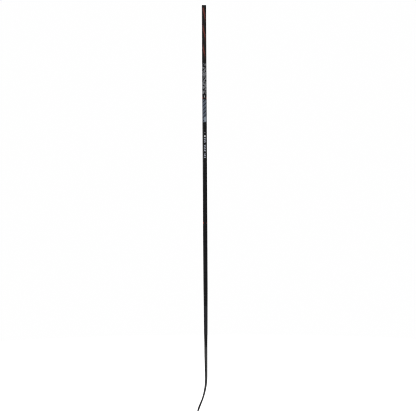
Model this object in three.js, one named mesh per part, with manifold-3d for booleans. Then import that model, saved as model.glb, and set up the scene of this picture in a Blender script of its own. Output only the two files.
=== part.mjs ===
// An ice hockey stick: a hollow composite shaft, a bonded blade with foam cores inside two skins,
// and a cap in the butt end. Millimetres, +Z up. The origin is the middle of the cap's top face.
// The shaft hangs down along -Z, the blade points to +X and down, and its toe hooks towards -Y,
// which is the forehand side. Distances called "down" are measured from the butt end along the shaft.

import * as THREE from "three";
import Module from "manifold-3d";

const wasm = await Module();
wasm.setup();

// ---- shaft ----
const SHAFT_LENGTH = 1524; // butt end to heel
const SHAFT_DEPTH = 29.5; // wide faces, along X
const SHAFT_CORNER = 4.5;
const SHAFT_WALL = 2.0;
// Thickness between the wide faces, which thins towards the hosel.
const WIDTHS = [
  { down: 0, width: 19.0 },
  { down: 960, width: 19.0 },
  { down: 1230, width: 18.0 },
  { down: 1415, width: 15.0 },
  { down: 1475, width: 12.6 },
  { down: SHAFT_LENGTH, width: 11.2 },
];

// ---- joint between shaft and blade ----
const JOINT_DOWN = 1370;
const WRAP_TOP = 1300;
const WRAP_BOTTOM = 1425;
const WRAP_RECESS = 0.8; // how far shaft and hosel step in under the wrap
const WRAP_THICKNESS = 0.6;
const HOSEL_WALL = 2.0;
const ADHESIVE_INSET = 2.2;
const ADHESIVE_INNER_INSET = 2.8;
const ADHESIVE_TOP = 1314;
const TENON_INSET = 3.0;
const TENON_WALL = 1.6;
const TENON_TOP = 1312;
const TENON_BOTTOM = 1428;
const DAM_TOP = 1288;
const DAM_BOTTOM = 1304;
const GAP = 0.2; // clearance left between neighbouring pieces
const STEP = 0.3; // length over which a wall changes thickness
const CORE_SHORT = 2; // how far the tenon's core stays inside each of its ends

// ---- butt end cap ----
const CAP_HEIGHT = 10;
const CAP_EDGE = 2.0; // rounding round the top face
const CAP_EDGE_STEPS = 4;
const PLUG_BOTTOM = 45;
const PLUG_WALL = 2.0;
const PLUG_FLOOR = 14;
const PLUG_WEB = 1.6;
const PLUG_WEB_X = 4.5;

// ---- blade ----
const LIE = THREE.MathUtils.degToRad(45); // the sole's slope below the horizontal
const TOP_SPREAD = THREE.MathUtils.degToRad(2.1); // top edge opens away from the sole
const BLADE_LENGTH = 295.5; // heel to toe along the sole
const HEEL_HEIGHT = 58.6;
const FILLET_RADIUS = 32; // between the shaft's front face and the top edge
const HEEL_SHARPNESS = 13; // a higher number rounds the heel less
const ROCKER_RADIUS = 3600;
const ROCKER_MIDDLE = 150;
const TOE_ROUNDING = 45;
const TOE_POWER = 2.4;
const TOE_END = 0.9995; // share of the toe's rounding that is drawn, so that it ends in a short flat
const TOE_TIP = 2.2; // last stretch, where the toe's thickness rounds off
const TIP_LOSS = 0.8; // share of the squared thickness lost there
const BLADE_THICK_HEEL = 12.8; // what the taper would reach at the heel
const BLADE_THICK_TOE = 5.8;
const BLADE_THINNING = 0.027; // thickness lost per millimetre of sole
const EDGE_ROUNDING = 0.45; // corner radius as a share of the thickness
const CURVE_START = 109;
const CURVE_END = 239;
const CURVE_SLOPE = 0.321;
const FACE_TWIST = 0.676; // how much the top edge's curve lags behind the sole's
const TOE_TWIST = 0.484; // the same at the toe
const TOE_TWIST_START = 245; // place along the sole where the twist begins to ease
const TWIST_LEVEL = 10;
const SKIN = 1.4;
const SKIN_EDGE = 2.5;
const SKIN_SEAM = 0.1; // half the seam between the two skins
const SKIN_LEAST = 0.1; // least half-width of the hollow next to the seam
const SKIN_INNER_CORNER = 0.8;
const LIP_MOST = 0.4; // a skin's edge takes at most this share of the blade's height
const TOE_SOLID = 12; // the skins are solid over this last stretch
const TOE_SOLID_EASE = 3;

// ---- inside the blade ----
const HOSEL_CORE_TOP = 1431;
const CORE_END_BEFORE_TOE = 15;
const RIB_HALF = 0.8;
const CORE_GAP = 0.35; // clearance between the curved skins and what fills them
const CORE_CORNER = 0.5;
const LEAST_CORNER = 0.4;
const SLIVER = 0.02; // straight stretch kept between two corner arcs
const OVERCUT = 5; // how far a cutting body runs past what it cuts

const CORNER_STEPS = 3;
const SIDE_STEPS = 4;
const HEEL_SHARES = [0.12, 0.27, 0.42, 0.57, 0.72, 0.86, 1];
const HEEL_REACH = 22; // stretch past the fillet where the heel's rounding still shows
const HEEL_STEPS = 4;
const STRAIGHT_STEPS = 10;
const TOE_SHARES = [0.2, 0.4, 0.58, 0.72, 0.83, 0.9];
const TIP_SHARES = [0, 0.4, 0.75, 0.95];

const { lerp, clamp } = THREE.MathUtils;

// ---------------------------------------------------------------- side profile in the X-Z plane

const heel = new THREE.Vector2(-SHAFT_DEPTH / 2, -SHAFT_LENGTH);
const soleAlong = new THREE.Vector2(Math.cos(LIE), -Math.sin(LIE));
const soleUp = new THREE.Vector2(Math.sin(LIE), Math.cos(LIE));
const topAlong = soleAlong.clone().rotateAround(new THREE.Vector2(), TOP_SPREAD);
const topUp = soleUp.clone().rotateAround(new THREE.Vector2(), TOP_SPREAD);

const topAtHeel = heel.clone().addScaledVector(soleUp, HEEL_HEIGHT);
const filletX = SHAFT_DEPTH / 2 + FILLET_RADIUS;
const filletZ = topAtHeel.y + (FILLET_RADIUS - (filletX - topAtHeel.x) * topUp.x) / topUp.y;
const filletCentre = new THREE.Vector2(filletX, filletZ);
const fanAngle = Math.atan2(topUp.y, topUp.x);
const topStart = filletCentre.clone().addScaledVector(topUp, -FILLET_RADIUS);

function shaftWidth(down) {
  const next = WIDTHS.findIndex((station) => station.down >= down);
  const after = WIDTHS[next < 0 ? WIDTHS.length - 1 : Math.max(next, 1)];
  const before = WIDTHS[WIDTHS.indexOf(after) - 1];
  const share = clamp((down - before.down) / (after.down - before.down), 0, 1);
  return lerp(before.width, after.width, share);
}

function bladeThickness(along) {
  return Math.max(BLADE_THICK_TOE, BLADE_THICK_HEEL - BLADE_THINNING * Math.max(along, 0));
}

// How far the blade's middle surface lies towards the forehand side.
function faceCurve(x, z) {
  const along = (x - heel.x) * soleAlong.x + (z - heel.y) * soleAlong.y;
  const height = (x - heel.x) * soleUp.x + (z - heel.y) * soleUp.y;
  const ease = clamp((along - TOE_TWIST_START) / (BLADE_LENGTH - TOE_TWIST_START), 0, 1);
  const reach = along - lerp(FACE_TWIST, TOE_TWIST, ease * ease) * (height - TWIST_LEVEL);
  const bend = CURVE_END - CURVE_START;
  const share = clamp((reach - CURVE_START) / bend, 0, 1);
  return CURVE_SLOPE * ((bend * share * share) / 2 + Math.max(reach - CURVE_END, 0));
}

// Distance from a point on the front or top edge, along a direction, to the back or the sole.
function distanceThrough(from, direction) {
  const toBack = (from.x - heel.x) / Math.max(-direction.x, 1e-6);
  const fall = -(direction.x * soleUp.x + direction.y * soleUp.y);
  const height = from.clone().sub(heel).dot(soleUp);
  let through = height / fall;
  let toSole = through;
  for (let pass = 0; pass < 3; pass += 1) {
    const along = from.clone().addScaledVector(direction, through).sub(heel).dot(soleAlong);
    const rocker = (along - ROCKER_MIDDLE) ** 2 / (2 * ROCKER_RADIUS);
    toSole = (height - rocker) / fall;
    through = (toBack ** -HEEL_SHARPNESS + toSole ** -HEEL_SHARPNESS) ** (-1 / HEEL_SHARPNESS);
  }
  return through;
}

// A section is a straight line through the side profile, with the thickness there.
function makeSection(top, bottom, thickness, solid = 0) {
  const height = top.distanceTo(bottom);
  const up = top.clone().sub(bottom).divideScalar(height);
  const corner = Math.min(SHAFT_CORNER, EDGE_ROUNDING * thickness, EDGE_ROUNDING * height);
  return { bottom, up, height, thickness, corner, solid };
}

function shaftSection(down) {
  const front = new THREE.Vector2(SHAFT_DEPTH / 2, -down);
  const back = new THREE.Vector2(-SHAFT_DEPTH / 2, -down);
  return makeSection(front, back, shaftWidth(down));
}

// The heel's sections fan out from the centre of the fillet.
function heelSection(share) {
  const angle = fanAngle * share;
  const direction = new THREE.Vector2(-Math.cos(angle), -Math.sin(angle));
  const top = filletCentre.clone().addScaledVector(direction, FILLET_RADIUS);
  const bottom = top.clone().addScaledVector(direction, distanceThrough(top, direction));
  const start = topStart.clone().sub(heel).dot(soleAlong);
  return makeSection(top, bottom, lerp(shaftWidth(-filletZ), bladeThickness(start), share));
}

function bladeSection(along) {
  const start = topStart.clone().sub(heel).dot(soleAlong);
  const top = topStart.clone().addScaledVector(topAlong, along - start);
  const direction = topUp.clone().negate();
  const bottom = top.clone().addScaledVector(direction, distanceThrough(top, direction));
  const beyond = clamp((along - (BLADE_LENGTH - TOE_ROUNDING)) / TOE_ROUNDING, 0, TOE_END);
  const kept = (1 - beyond ** TOE_POWER) ** (1 / TOE_POWER);
  const middle = top.clone().lerp(bottom, 0.5);
  const tip = clamp((along - (BLADE_LENGTH - TOE_TIP)) / TOE_TIP, 0, 1);
  const thickness = bladeThickness(along) * Math.sqrt(1 - TIP_LOSS * tip * tip);
  const solid = clamp((along - (BLADE_LENGTH - TOE_SOLID)) / TOE_SOLID_EASE, 0, 1);
  return makeSection(middle.clone().lerp(top, kept), middle.clone().lerp(bottom, kept), thickness, solid);
}

// ---------------------------------------------------------------- rings and lofts

// Points over one side of a rounded rectangle, from the middle of its low end to that of its high end.
function sidePoints(low, high, half, corner, seam, side) {
  const points = [[low, side * seam]];
  const radius = Math.max(Math.min(corner, half - seam - SLIVER, (high - low) / 2 - SLIVER), SLIVER);
  for (let i = 0; i <= CORNER_STEPS; i += 1) {
    const angle = (Math.PI / 2) * (i / CORNER_STEPS);
    points.push([low + radius * (1 - Math.cos(angle)), side * (half - radius * (1 - Math.sin(angle)))]);
  }
  for (let i = 1; i < SIDE_STEPS; i += 1)
    points.push([lerp(low + radius, high - radius, i / SIDE_STEPS), side * half]);
  for (let i = 0; i <= CORNER_STEPS; i += 1) {
    const angle = (Math.PI / 2) * (1 - i / CORNER_STEPS);
    points.push([high - radius * (1 - Math.cos(angle)), side * (half - radius * (1 - Math.sin(angle)))]);
  }
  points.push([high, side * seam]);
  return points;
}

function placeRing(section, flat) {
  const points = flat.map(([height, across]) => {
    const x = section.bottom.x + section.up.x * height;
    const z = section.bottom.y + section.up.y * height;
    return new THREE.Vector3(x, across - faceCurve(x, z), z);
  });
  return { flat, points };
}

// A whole rounded rectangle, stepped in from the section's outline on all sides.
function fullRing(section, inset) {
  const half = section.thickness / 2 - inset;
  return bandRing(section, inset, section.height - inset, half, section.corner - inset);
}

function bandRing(section, low, high, half, corner) {
  const right = sidePoints(low, high, half, Math.max(corner, LEAST_CORNER), 0, 1);
  const left = sidePoints(low, high, half, Math.max(corner, LEAST_CORNER), 0, -1);
  return placeRing(section, [...right.slice(1, -1), ...left.slice(1, -1).reverse()]);
}

// Half of a hollow section: one skin, seen end on, is a shallow C.
function skinRing(section, side, inset, wall, edge) {
  const outerHalf = section.thickness / 2 - inset;
  const outer = sidePoints(inset, section.height - inset, outerHalf, section.corner - inset, SKIN_SEAM, side);
  const lip = Math.min(inset + edge, LIP_MOST * section.height);
  const leastHalf = SKIN_SEAM + SKIN_LEAST;
  const innerHalf = lerp(Math.max(outerHalf - wall, leastHalf), leastHalf, section.solid);
  const inner = sidePoints(lip, section.height - lip, innerHalf, SKIN_INNER_CORNER, SKIN_SEAM, side);
  return placeRing(section, [...outer, ...inner.reverse()]);
}

function loft(rings) {
  const count = rings[0].points.length;
  const corners = rings.flatMap((ring) => ring.points);
  const index = [];
  for (let r = 0; r + 1 < rings.length; r += 1) {
    for (let i = 0; i < count; i += 1) {
      const next = (i + 1) % count;
      const [a, b] = [r * count + i, r * count + next];
      const [c, d] = [a + count, b + count];
      index.push(a, b, d, a, d, c);
    }
  }
  const closeEnd = (ring, base, first) => {
    const outline = ring.flat.map(([u, v]) => new THREE.Vector2(u, v));
    const keep = THREE.ShapeUtils.isClockWise(outline) === first;
    for (const [a, b, c] of THREE.ShapeUtils.triangulateShape(outline, []))
      index.push(base + a, base + (keep ? b : c), base + (keep ? c : b));
  };
  closeEnd(rings[0], 0, true);
  closeEnd(rings[rings.length - 1], (rings.length - 1) * count, false);
  const geometry = new THREE.BufferGeometry().setFromPoints(corners);
  geometry.setIndex(index);
  return facingOut(geometry);
}

// Turns every triangle round when the signed volume comes out negative.
function facingOut(geometry) {
  const position = geometry.getAttribute("position");
  const index = geometry.getIndex().array;
  const [a, b, c] = [new THREE.Vector3(), new THREE.Vector3(), new THREE.Vector3()];
  let volume = 0;
  for (let i = 0; i < index.length; i += 3) {
    a.fromBufferAttribute(position, index[i]);
    b.fromBufferAttribute(position, index[i + 1]);
    c.fromBufferAttribute(position, index[i + 2]);
    volume += a.dot(b.cross(c));
  }
  if (volume < 0)
    for (let i = 0; i < index.length; i += 3)
      [index[i + 1], index[i + 2]] = [index[i + 2], index[i + 1]];
  return geometry;
}

function toSolid(geometry) {
  const mesh = new wasm.Mesh({
    numProp: 3,
    vertProperties: new Float32Array(geometry.getAttribute("position").array),
    triVerts: new Uint32Array(geometry.getIndex().array),
  });
  mesh.merge();
  return new wasm.Manifold(mesh);
}

function toGeometry(solid) {
  const mesh = solid.getMesh();
  const geometry = new THREE.BufferGeometry();
  geometry.setAttribute("position", new THREE.BufferAttribute(new Float32Array(mesh.vertProperties), 3));
  geometry.setIndex(new THREE.BufferAttribute(new Uint32Array(mesh.triVerts), 1));
  return geometry;
}

const subtract = (body, tool) => toGeometry(toSolid(body).subtract(toSolid(tool)));

// ---------------------------------------------------------------- stations

// Places along the shaft between two distances, with one at every change of taper.
function shaftStations(from, to) {
  const places = WIDTHS.map((station) => station.down);
  return [from, ...places.filter((down) => down > from + 1 && down < to - 1), to];
}

const shaftLoft = (from, to, inset) =>
  loft(shaftStations(from, to).map((down) => fullRing(shaftSection(down), inset)));

// Places along the sole, shared by the skins and what fills them so that their facets run alike.
const heelEnd = topStart.clone().sub(heel).dot(soleAlong);
const bladePlaces = [];
for (let i = 1; i <= HEEL_STEPS; i += 1) bladePlaces.push(heelEnd + (HEEL_REACH * i) / HEEL_STEPS);
const straightStart = heelEnd + HEEL_REACH;
for (let i = 1; i <= STRAIGHT_STEPS; i += 1)
  bladePlaces.push(lerp(straightStart, BLADE_LENGTH - TOE_ROUNDING, i / STRAIGHT_STEPS));
for (const share of TOE_SHARES) bladePlaces.push(BLADE_LENGTH - TOE_ROUNDING * (1 - share));
for (const share of TIP_SHARES) bladePlaces.push(BLADE_LENGTH - TOE_TIP * (1 - share));

// ---------------------------------------------------------------- pieces

function buttEndCap() {
  const rings = [];
  for (let i = 0; i <= CAP_EDGE_STEPS; i += 1) {
    const angle = (Math.PI / 2) * (1 - i / CAP_EDGE_STEPS);
    const section = shaftSection(CAP_EDGE * (1 - Math.sin(angle)));
    rings.push(fullRing(section, CAP_EDGE * (1 - Math.cos(angle))));
  }
  rings.push(fullRing(shaftSection(CAP_HEIGHT), 0));
  const plug = shaftLoft(CAP_HEIGHT - CAP_EDGE, PLUG_BOTTOM, SHAFT_WALL + GAP);
  const hollow = shaftLoft(PLUG_FLOOR, PLUG_BOTTOM + OVERCUT, SHAFT_WALL + GAP + PLUG_WALL);
  const webHeight = PLUG_BOTTOM - PLUG_FLOOR + 2 * OVERCUT;
  let pockets = toSolid(hollow);
  for (const x of [-PLUG_WEB_X, PLUG_WEB_X]) {
    const web = new THREE.BoxGeometry(PLUG_WEB, SHAFT_DEPTH, webHeight);
    pockets = pockets.subtract(toSolid(web.translate(x, 0, OVERCUT - PLUG_FLOOR - webHeight / 2)));
  }
  return toGeometry(toSolid(loft(rings)).add(toSolid(plug)).subtract(pockets));
}

function shaftTube() {
  const rings = [];
  for (const down of shaftStations(CAP_HEIGHT + GAP, WRAP_TOP))
    rings.push(fullRing(shaftSection(down), 0));
  for (const down of shaftStations(WRAP_TOP, JOINT_DOWN))
    rings.push(fullRing(shaftSection(down), WRAP_RECESS));
  return subtract(loft(rings), shaftLoft(-OVERCUT, JOINT_DOWN + OVERCUT, SHAFT_WALL));
}

function sleeve(from, to, outerInset, innerInset) {
  return subtract(shaftLoft(from, to, outerInset), shaftLoft(from - OVERCUT, to + OVERCUT, innerInset));
}

const tenonCore = () =>
  shaftLoft(TENON_TOP + CORE_SHORT, TENON_BOTTOM - CORE_SHORT, TENON_INSET + TENON_WALL + GAP);

function bladeSkin(side) {
  const rings = [];
  for (const down of shaftStations(JOINT_DOWN + GAP, WRAP_BOTTOM))
    rings.push(skinRing(shaftSection(down), side, WRAP_RECESS, HOSEL_WALL, HOSEL_WALL));
  for (const down of shaftStations(WRAP_BOTTOM + STEP, TENON_BOTTOM + GAP))
    rings.push(skinRing(shaftSection(down), side, 0, HOSEL_WALL + WRAP_RECESS, HOSEL_WALL + WRAP_RECESS));
  for (const down of shaftStations(TENON_BOTTOM + GAP + STEP, -filletZ))
    rings.push(skinRing(shaftSection(down), side, 0, HOSEL_WALL, HOSEL_WALL));
  for (const share of HEEL_SHARES) {
    const wall = lerp(HOSEL_WALL, SKIN, share);
    rings.push(skinRing(heelSection(share), side, 0, wall, lerp(HOSEL_WALL, SKIN_EDGE, share)));
  }
  for (const along of bladePlaces)
    rings.push(skinRing(bladeSection(along), side, 0, SKIN, SKIN_EDGE));
  return loft(rings);
}

function hoselCore() {
  const inset = HOSEL_WALL + CORE_GAP;
  const rings = shaftStations(HOSEL_CORE_TOP, -filletZ).map((down) => fullRing(shaftSection(down), inset));
  for (const share of HEEL_SHARES) {
    const section = heelSection(share);
    const edge = lerp(HOSEL_WALL, SKIN_EDGE, share) + CORE_GAP;
    const half = section.thickness / 2 - lerp(HOSEL_WALL, SKIN, share) - CORE_GAP;
    rings.push(bandRing(section, edge, section.height - edge, half, section.corner - inset));
  }
  return loft(rings);
}

// A filling of the room between the skins, between two levels counted from mid-height.
function bladeFilling(from, to) {
  const edge = SKIN_EDGE + CORE_GAP;
  const places = bladePlaces.filter((along) => along < BLADE_LENGTH - CORE_END_BEFORE_TOE);
  return loft(places.map((along) => {
    const section = bladeSection(along);
    const low = Math.max(section.height / 2 + from, edge);
    const high = Math.min(section.height / 2 + to, section.height - edge);
    return bandRing(section, low, high, section.thickness / 2 - SKIN - CORE_GAP, CORE_CORNER);
  }));
}

// ---------------------------------------------------------------- assembly

const carbon = { color: 0x1c1d20, roughness: 0.55 };
const foam = { color: 0xd9d3bd, roughness: 0.9 };
const plastic = { color: 0x101012, roughness: 0.6 };
const resin = { color: 0x6b5a35, roughness: 0.4 };

const stick = new THREE.Group();

function addPiece(name, geometry, look) {
  const mesh = new THREE.Mesh(geometry, new THREE.MeshStandardMaterial(look));
  mesh.name = name;
  stick.add(mesh);
}

addPiece("butt_end_cap", buttEndCap(), plastic);
addPiece("shaft_tube", shaftTube(), carbon);
addPiece("adhesive_dam", shaftLoft(DAM_TOP, DAM_BOTTOM, SHAFT_WALL + GAP), foam);
addPiece("tenon_adhesive", sleeve(ADHESIVE_TOP, JOINT_DOWN, ADHESIVE_INSET, ADHESIVE_INNER_INSET), resin);
addPiece("tenon", sleeve(TENON_TOP, TENON_BOTTOM, TENON_INSET, TENON_INSET + TENON_WALL), carbon);
addPiece("tenon_core", tenonCore(), foam);
addPiece("joint_wrap", sleeve(WRAP_TOP + GAP, WRAP_BOTTOM - GAP, 0, WRAP_THICKNESS), carbon);
addPiece("forehand_skin", bladeSkin(-1), carbon);
addPiece("backhand_skin", bladeSkin(1), carbon);
addPiece("hosel_core", hoselCore(), foam);
addPiece("lower_foam_core", bladeFilling(-HEEL_HEIGHT, -RIB_HALF - GAP), foam);
addPiece("blade_rib", bladeFilling(-RIB_HALF, RIB_HALF), carbon);
addPiece("upper_foam_core", bladeFilling(RIB_HALF + GAP, HEEL_HEIGHT), foam);

export default stick;
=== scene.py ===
"""An ice hockey stick: painted hollow shaft, end cap, wrapped joint and a curved two-skin blade.

The CAD frame is in metres with +Z up the shaft, +X towards the blade's toe and -Y on the forehand
side. The outline formulas below work in millimetres, and "down" is the distance from the butt end.
"""
import math

import bmesh
import bpy
from mathutils import Matrix, Vector


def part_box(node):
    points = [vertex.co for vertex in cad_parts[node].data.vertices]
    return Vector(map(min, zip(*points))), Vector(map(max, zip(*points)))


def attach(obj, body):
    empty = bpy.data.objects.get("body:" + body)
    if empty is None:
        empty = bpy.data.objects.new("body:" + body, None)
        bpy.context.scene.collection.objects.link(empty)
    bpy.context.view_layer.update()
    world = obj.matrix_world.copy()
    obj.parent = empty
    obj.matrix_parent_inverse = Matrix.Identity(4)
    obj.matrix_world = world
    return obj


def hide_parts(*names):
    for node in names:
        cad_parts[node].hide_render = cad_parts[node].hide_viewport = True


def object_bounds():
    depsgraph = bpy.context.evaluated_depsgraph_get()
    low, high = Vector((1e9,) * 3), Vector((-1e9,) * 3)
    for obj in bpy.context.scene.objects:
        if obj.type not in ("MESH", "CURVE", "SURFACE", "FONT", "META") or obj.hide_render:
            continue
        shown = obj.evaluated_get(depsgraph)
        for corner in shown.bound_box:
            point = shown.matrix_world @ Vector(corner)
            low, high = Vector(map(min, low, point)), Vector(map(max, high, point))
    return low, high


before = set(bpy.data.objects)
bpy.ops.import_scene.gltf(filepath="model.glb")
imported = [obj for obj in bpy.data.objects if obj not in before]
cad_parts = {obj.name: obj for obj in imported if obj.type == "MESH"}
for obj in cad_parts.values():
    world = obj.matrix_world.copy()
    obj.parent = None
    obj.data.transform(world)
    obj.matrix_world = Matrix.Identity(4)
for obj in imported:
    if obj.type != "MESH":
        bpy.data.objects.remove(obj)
cad_low, cad_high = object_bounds()

MM = 0.001


def span_mm(node, axis):
    """Size of a CAD node along one axis."""
    low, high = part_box(node)
    return (high[axis] - low[axis]) / MM


def down_mm(node):
    """Distances from the butt end to the top and the bottom of a CAD node."""
    low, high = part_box(node)
    return -high[2] / MM, -low[2] / MM


# ---------------------------------------------------------------- sizes, in millimetres

SHAFT_DEPTH = span_mm("shaft_tube", 0)
SHAFT_WIDTH = span_mm("shaft_tube", 1)
SHAFT_CORNER = 4.5
SHAFT_WALL = 2.0
SHAFT_TOP, JOINT_DOWN = down_mm("shaft_tube")
WRAP_TOP, WRAP_BOTTOM = down_mm("joint_wrap")
WRAP_RECESS = 0.8
WRAP_THICKNESS = 0.6
HEEL_DOWN = 1524.0
TAPER_START = 960.0
TAPER_MIDDLE = 1230.0
HOSEL_TOP = 1415.0
HOSEL_MIDDLE = 1475.0
WIDTHS = (
    (0, SHAFT_WIDTH),
    (TAPER_START, SHAFT_WIDTH),
    (TAPER_MIDDLE, 18.0),
    (HOSEL_TOP, 15.0),
    (HOSEL_MIDDLE, 12.6),
    (HEEL_DOWN, 11.2),
)

CAP_EDGE = 2.0
CAP_LOWER_EDGE = 0.4
CAP_HEIGHT = 10.0
PLUG_BOTTOM = down_mm("butt_end_cap")[1]
PLUG_INSET = 2.2
PLUG_WALL = 2.0
PLUG_LEAD = 1.5  # length of the chamfer at the plug's lower end
PLUG_CHAMFER = 0.6
PLUG_LIP = 0.3
PLUG_FLOOR = CAP_HEIGHT + 4.0

LIE = math.radians(45)
TOP_SPREAD = math.radians(2.1)
BLADE_LENGTH = 295.5
HEEL_HEIGHT = 58.6
FILLET_RADIUS = 32.0
HEEL_SHARPNESS = 13
ROCKER_RADIUS = 3600.0
ROCKER_MIDDLE = 150.0
TOE_ROUNDING = 45.0
TOE_POWER = 2.4
TOE_TIP = 2.2
BLADE_THICK_HEEL = 12.8
BLADE_THICK_TOE = 5.8
BLADE_THINNING = 0.027
EDGE_ROUNDING = 0.45
CURVE_START = 109.0
CURVE_END = 239.0
CURVE_SLOPE = 0.321
FACE_TWIST = 0.676
TOE_TWIST = 0.484
TOE_TWIST_START = 245.0
TWIST_LEVEL = 10.0
HOSEL_WALL = 2.0
SKIN = 1.4
SKIN_EDGE = 2.5
SKIN_SEAM = 0.1
SKIN_LEAST = 0.1
SKIN_INNER_CORNER = 0.8
LIP_MOST = 0.4  # of the section's height
TOE_SOLID = 12.0
TOE_SOLID_EASE = 3.0
TOE_END = 0.9995  # share of the toe's rounding that is reached
TIP_LOSS = 0.8  # share of the squared thickness lost at the very tip

SHAFT_EASE = 0.3  # broken edge at both ends of the painted shaft
WRAP_EASE = 0.25
WRAP_EASE_LENGTH = 0.8
GAP = 0.2

CORNER_STEPS = 8
SIDE_STEPS = 14
CAP_EDGE_STEPS = 6
HEEL_STEPS = 22
TOE_STEPS = 20
TOE_LAST_STEP = 14
TIP_SHARES = (0, 0.2, 0.4, 0.58, 0.74, 0.87, 0.95)
SHAFT_STEP = 20
WRAP_STEP = 6
EDGE_STEP = 0.05  # a step that is all but square
RECESS_STEP = 0.06
RECESS_END = 0.3
SAME_PLACE = 0.05
LEAST_CORNER = 0.4
CORNER_SHARE = 0.45  # of the section's height
SLIVER = 0.02
TINY = 1e-6
MERGE_DISTANCE = 1e-7

SHAFT_GIRTH = 92  # width of the bake map's rows, a little over the girth of what they hold
CAP_GIRTH = 95
SKIN_GIRTH = 84
BAKE_MARGIN = 0.006
ROW_MARGIN = 0.02
HIDDEN_SPOT = (0.998, 0.998)  # where the bake map keeps faces that can't be seen

# ---------------------------------------------------------------- side profile


def lerp(a, b, share):
    return a + (b - a) * share


def clamp(value, low=0.0, high=1.0):
    return max(low, min(high, value))


HEEL = Vector((-SHAFT_DEPTH / 2, -HEEL_DOWN))
SOLE_ALONG = Vector((math.cos(LIE), -math.sin(LIE)))
SOLE_UP = Vector((math.sin(LIE), math.cos(LIE)))
TURN = Matrix.Rotation(TOP_SPREAD, 2)
TOP_ALONG = TURN @ SOLE_ALONG
TOP_UP = TURN @ SOLE_UP
TOP_AT_HEEL = HEEL + SOLE_UP * HEEL_HEIGHT
FILLET_X = SHAFT_DEPTH / 2 + FILLET_RADIUS
FILLET_Z = TOP_AT_HEEL.y + (FILLET_RADIUS - (FILLET_X - TOP_AT_HEEL.x) * TOP_UP.x) / TOP_UP.y
FILLET = Vector((FILLET_X, FILLET_Z))
FAN = math.atan2(TOP_UP.y, TOP_UP.x)
TOP_START = FILLET - TOP_UP * FILLET_RADIUS
HEEL_END = (TOP_START - HEEL).dot(SOLE_ALONG)
HEEL_PATH = FAN * (FILLET_RADIUS + SHAFT_DEPTH / 2)  # length round the bend, at mid-depth


def shaft_width(down):
    """Width of the narrow face at a distance from the butt end."""
    for (before, width), (after, next_width) in zip(WIDTHS, WIDTHS[1:]):
        if down <= after:
            return lerp(width, next_width, clamp((down - before) / (after - before)))
    return WIDTHS[-1][1]


def blade_thickness(along):
    return max(BLADE_THICK_TOE, BLADE_THICK_HEEL - BLADE_THINNING * max(along, 0))


def face_curve(point):
    """How far the blade's middle surface lies towards the forehand side."""
    along = (point - HEEL).dot(SOLE_ALONG)
    height = (point - HEEL).dot(SOLE_UP)
    ease = clamp((along - TOE_TWIST_START) / (BLADE_LENGTH - TOE_TWIST_START))
    reach = along - lerp(FACE_TWIST, TOE_TWIST, ease * ease) * (height - TWIST_LEVEL)
    bend = CURVE_END - CURVE_START
    share = clamp((reach - CURVE_START) / bend)
    return CURVE_SLOPE * (bend * share * share / 2 + max(reach - CURVE_END, 0))


def distance_through(start, direction):
    """Distance from the front or top edge to the back or the sole, rounded at the heel."""
    to_back = (start.x - HEEL.x) / max(-direction.x, TINY)
    fall = -direction.dot(SOLE_UP)
    height = (start - HEEL).dot(SOLE_UP)
    through = height / fall
    for _ in range(3):
        along = (start + direction * through - HEEL).dot(SOLE_ALONG)
        rocker = (along - ROCKER_MIDDLE) ** 2 / (2 * ROCKER_RADIUS)
        to_sole = (height - rocker) / fall
        total = to_back ** -HEEL_SHARPNESS + to_sole ** -HEEL_SHARPNESS
        through = total ** (-1 / HEEL_SHARPNESS)
    return through


class Section:
    """A straight line through the side profile, with the thickness and the path length there."""

    def __init__(self, top, bottom, thickness, path, solid=0.0):
        self.bottom = bottom
        self.height = (top - bottom).length
        self.up = (top - bottom) / self.height
        self.thickness = thickness
        self.corner = min(SHAFT_CORNER, EDGE_ROUNDING * thickness, CORNER_SHARE * self.height)
        self.path = path
        self.solid = solid

    def place(self, height, across):
        point = self.bottom + self.up * height
        return Vector((point.x, across - face_curve(point), point.y)) * MM


def shaft_section(down):
    """Square across the shaft, at a distance from the butt end."""
    front = Vector((SHAFT_DEPTH / 2, -down))
    back = Vector((-SHAFT_DEPTH / 2, -down))
    return Section(front, back, shaft_width(down), down)


def heel_section(share):
    """One of the sections that fan round the fillet, from the shaft (0) to the blade (1)."""
    angle = FAN * share
    direction = Vector((-math.cos(angle), -math.sin(angle)))
    top = FILLET + direction * FILLET_RADIUS
    bottom = top + direction * distance_through(top, direction)
    thickness = lerp(shaft_width(-FILLET_Z), blade_thickness(HEEL_END), share)
    path = -FILLET_Z + share * HEEL_PATH
    return Section(top, bottom, thickness, path)


def blade_section(along):
    """Across the blade, at a distance along the sole from the heel, rounded off at the toe."""
    top = TOP_START + TOP_ALONG * (along - HEEL_END)
    direction = -TOP_UP
    bottom = top + direction * distance_through(top, direction)
    beyond = clamp((along - (BLADE_LENGTH - TOE_ROUNDING)) / TOE_ROUNDING, 0, TOE_END)
    kept = (1 - beyond ** TOE_POWER) ** (1 / TOE_POWER)
    middle = (top + bottom) / 2
    tip = clamp((along - (BLADE_LENGTH - TOE_TIP)) / TOE_TIP)
    thickness = blade_thickness(along) * math.sqrt(1 - TIP_LOSS * tip * tip)
    solid = clamp((along - (BLADE_LENGTH - TOE_SOLID)) / TOE_SOLID_EASE)
    path = -FILLET_Z + HEEL_PATH + along - HEEL_END
    top, bottom = middle.lerp(top, kept), middle.lerp(bottom, kept)
    return Section(top, bottom, thickness, path, solid)


# ---------------------------------------------------------------- rings and lofts


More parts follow.
